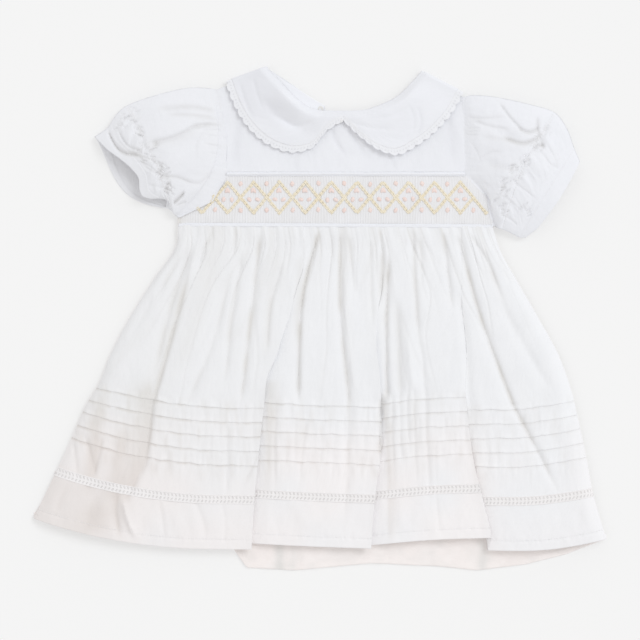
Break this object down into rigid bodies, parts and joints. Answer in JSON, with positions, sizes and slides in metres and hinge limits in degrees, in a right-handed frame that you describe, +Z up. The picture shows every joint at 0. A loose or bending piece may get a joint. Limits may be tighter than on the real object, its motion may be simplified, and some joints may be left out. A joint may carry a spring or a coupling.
{
  "type": "toddler dress",
  "caption": "Flat-laid smocked toddler dress with puff sleeves, a lace-edged two-lobed collar, a gathered skirt with pintucks and an openwork strip above the hem.",
  "frame": {"origin": "middle of the footprint of the whole dress, on the surface it lies on", "axes": "+Z up off the surface, out of the dress's front; +Y from the hem towards the shoulders; +X to the viewer's right across the dress"},
  "size_m": [0.5146, 0.4532, 0.0285],
  "materials": {
    "cotton_back": "matte woven cotton",
    "cotton_skirt": "matte woven cotton",
    "cotton_hem": "matte woven cotton",
    "cotton_band": "matte pleated cotton with ochre and rose embroidery",
    "cotton_yoke": "matte woven cotton",
    "cotton_piping": "matte corded cotton",
    "cotton_collar": "matte woven cotton",
    "cotton_sleeve": "matte woven cotton",
    "lace": "matte cotton lace",
    "pearl_button": "satin pearl"
  },
  "bodies": {
    "root": {"skirt_back": "cotton_back", "lace_insertion_back": "lace", "hem_band_back": "cotton_back", "back_yoke_left": "cotton_back", "back_yoke_right": "cotton_back", "skirt_front": "cotton_skirt", "lace_insertion_front": "lace", "hem_band_front": "cotton_hem", "smocked_band": "cotton_band", "yoke_front": "cotton_yoke", "piping_top": "cotton_piping", "piping_bottom": "cotton_piping", "collar_left": "cotton_collar", "collar_lace_left": "lace", "collar_right": "cotton_collar", "collar_lace_right": "lace", "neck_binding": "cotton_collar", "back_button": "pearl_button", "sleeve_left": "cotton_sleeve", "cuff_left": "cotton_sleeve", "sleeve_right": "cotton_sleeve", "cuff_right": "cotton_sleeve"}
  },
  "joints": []
}
